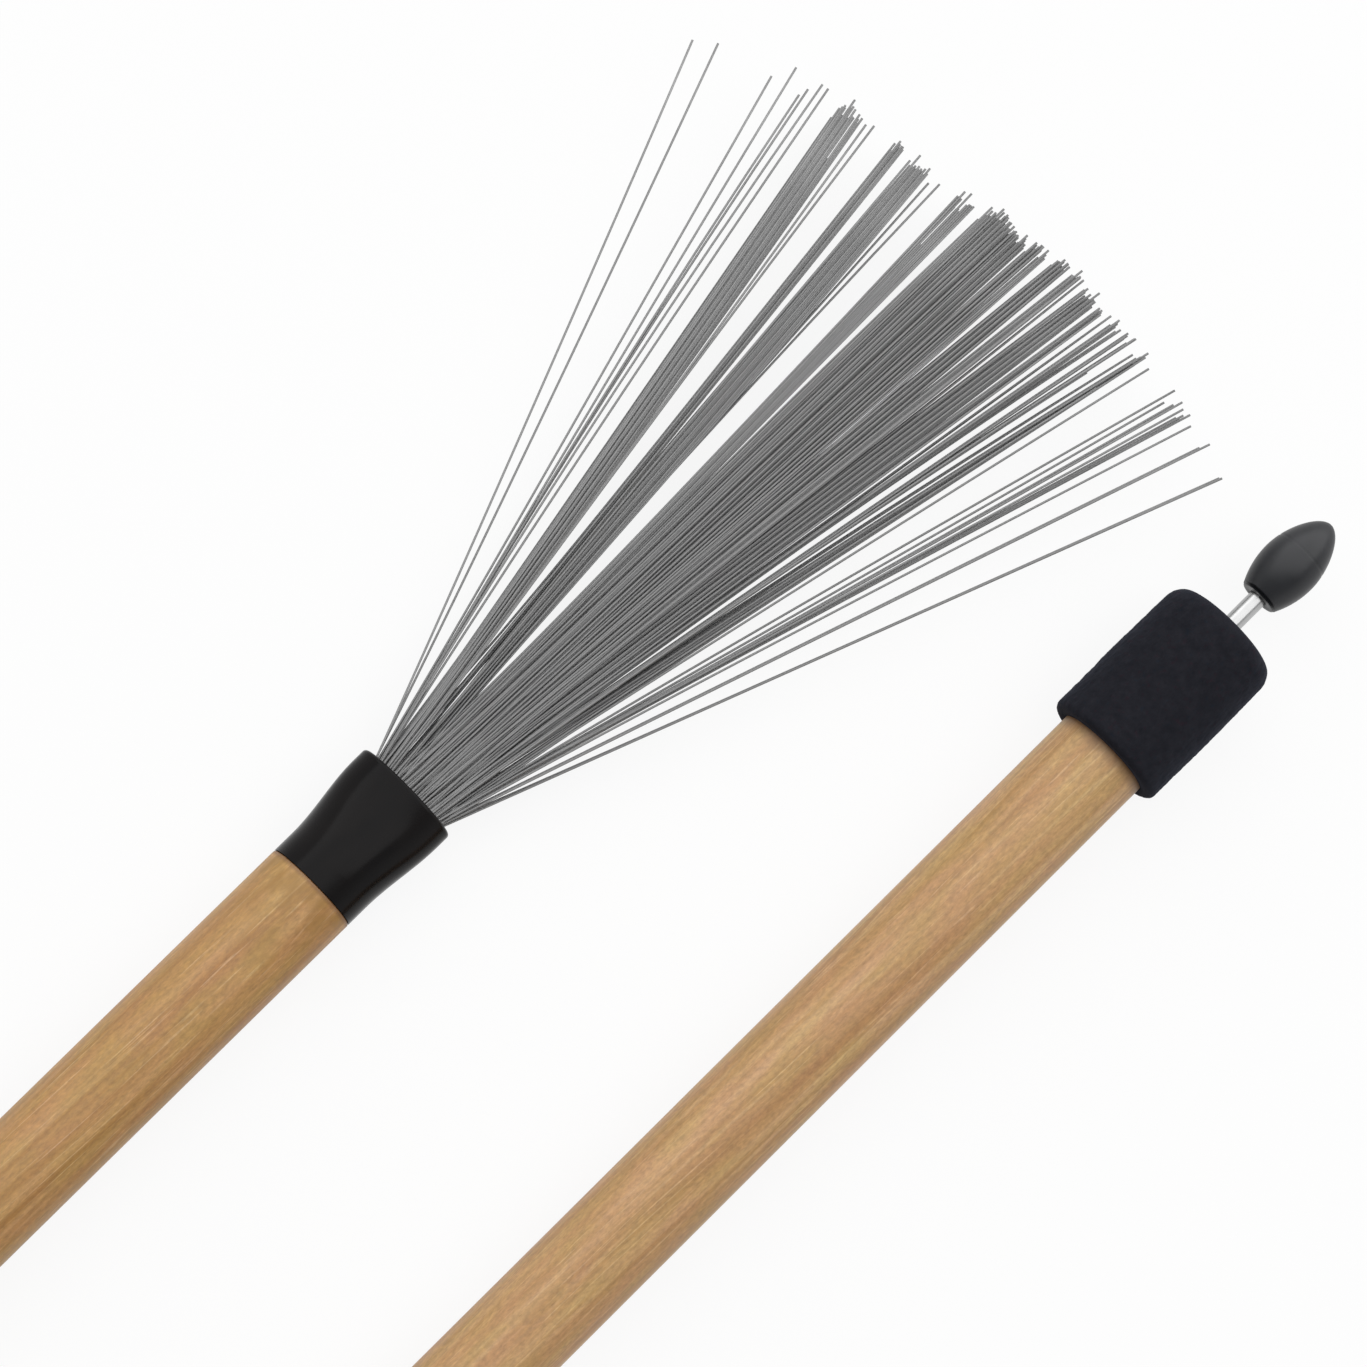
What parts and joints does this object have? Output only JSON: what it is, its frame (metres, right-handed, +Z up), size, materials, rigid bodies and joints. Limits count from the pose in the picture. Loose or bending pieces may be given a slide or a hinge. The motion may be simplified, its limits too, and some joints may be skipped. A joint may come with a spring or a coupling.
{
  "type": "wire drum brushes",
  "caption": "Pair of retractable wire drum brushes. Each fan of spring wires slides in a bored wooden handle on a rod with an egg-shaped bead. A felt sleeve covers the butt.",
  "frame": {"origin": "on the surface that the pair lies on, under the middle of the pair's bounding box", "axes": "+Z up; +X along the handles, the way the first brush's wires point; +Y across, from the second brush to the first"},
  "size_m": [0.3742, 0.1576, 0.0196],
  "materials": {
    "hickory": "satin lacquer",
    "ferrule_plastic": "satin moulded",
    "felt": "matte felt nap",
    "bush_plastic": "moulded",
    "rubber": "smooth",
    "zinc_steel": "zinc plated",
    "spring_wire": "drawn, dull",
    "nylon": "natural nylon",
    "bright_rod": "bright drawn",
    "bead_plastic": "satin moulded"
  },
  "bodies": {
    "brush_a": {"handle_a": "hickory", "ferrule_a": "ferrule_plastic", "butt_sleeve_a": "felt", "rod_bush_a": "bush_plastic", "drag_ring_a": "rubber", "ring_cap_a": "zinc_steel"},
    "rod_a": {"wire_fan_a": "spring_wire", "coupler_a": "zinc_steel", "guide_collar_a": "nylon", "stop_collar_a": "zinc_steel", "stop_bumper_a": "rubber", "pull_rod_a": "bright_rod", "pull_bead_a": "bead_plastic"},
    "brush_b": {"handle_b": "hickory", "ferrule_b": "ferrule_plastic", "butt_sleeve_b": "felt", "rod_bush_b": "bush_plastic", "drag_ring_b": "rubber", "ring_cap_b": "zinc_steel"},
    "rod_b": {"wire_fan_b": "spring_wire", "coupler_b": "zinc_steel", "guide_collar_b": "nylon", "stop_collar_b": "zinc_steel", "stop_bumper_b": "rubber", "pull_rod_b": "bright_rod", "pull_bead_b": "bead_plastic"}
  },
  "joints": [
    {"name": "rod_slide_a", "type": "slide", "parent": "brush_a", "child": "rod_a", "axis": [-0.9999, 0, 0.0121], "range_m": [0, 0.12396], "deforming": ["wire_fan_a"]},
    {"name": "brush_b_lift", "type": "slide", "parent": "brush_a", "child": "brush_b", "axis": [0, 0, 1], "range_m": [0, 0.06]},
    {"name": "rod_slide_b", "type": "slide", "parent": "brush_b", "child": "rod_b", "axis": [0.9999, 0, 0.0121], "range_m": [0, 0.12396], "deforming": ["wire_fan_b"]}
  ]
}
